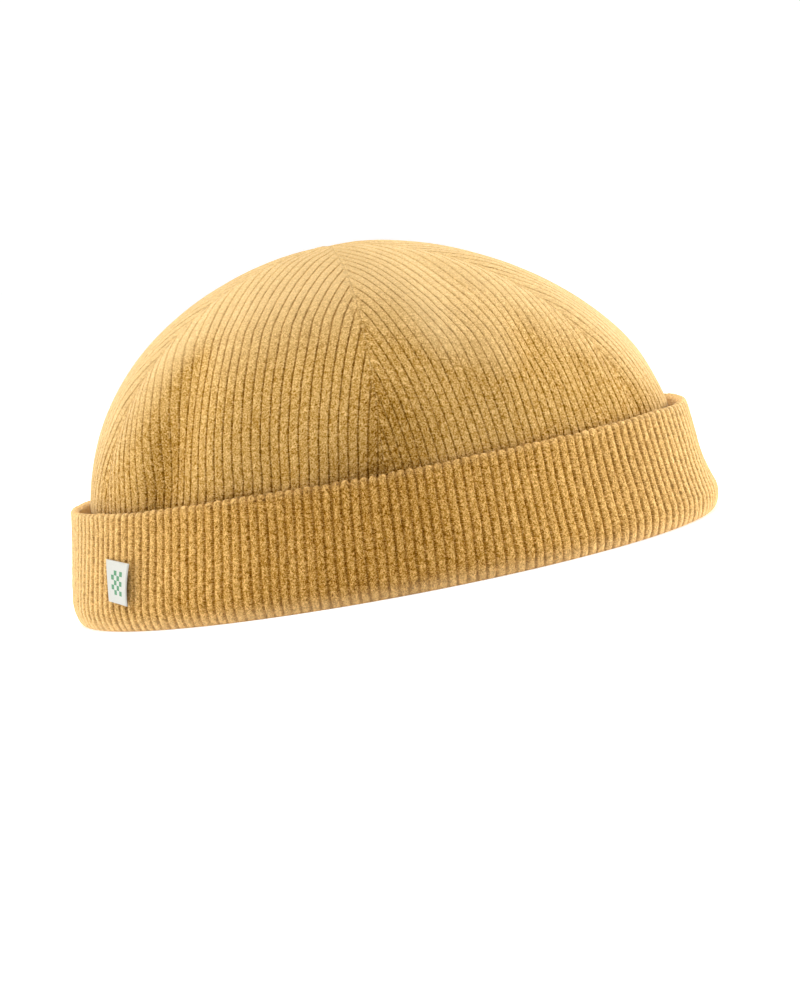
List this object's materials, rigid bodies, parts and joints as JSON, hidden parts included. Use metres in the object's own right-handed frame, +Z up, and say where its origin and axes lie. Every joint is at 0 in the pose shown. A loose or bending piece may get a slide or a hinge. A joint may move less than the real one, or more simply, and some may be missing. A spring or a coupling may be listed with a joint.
{
  "type": "corduroy fisherman beanie with turned-up cuff",
  "caption": "Low round brimless cap of sewn corduroy gores with a deep turned-up cuff and a small cloth label, resting on its cuff.",
  "frame": {"origin": "on the floor, under the middle of the hat's bounding box", "axes": "+Z up out of the crown, +X along the head's length, -Y the side that carries the label"},
  "size_m": [0.2236, 0.1676, 0.1109],
  "materials": {
    "crown_corduroy": "ochre cut-pile corduroy, matt with a soft sheen",
    "cuff_corduroy": "ochre cut-pile corduroy, matt with a soft sheen",
    "label_satin": "white woven satin tape"
  },
  "bodies": {
    "root": {"crown_panel_1": "crown_corduroy", "crown_panel_2": "crown_corduroy", "crown_panel_3": "crown_corduroy", "crown_panel_4": "crown_corduroy", "crown_panel_5": "crown_corduroy", "crown_panel_6": "crown_corduroy", "cuff": "cuff_corduroy", "label": "label_satin"}
  },
  "joints": []
}
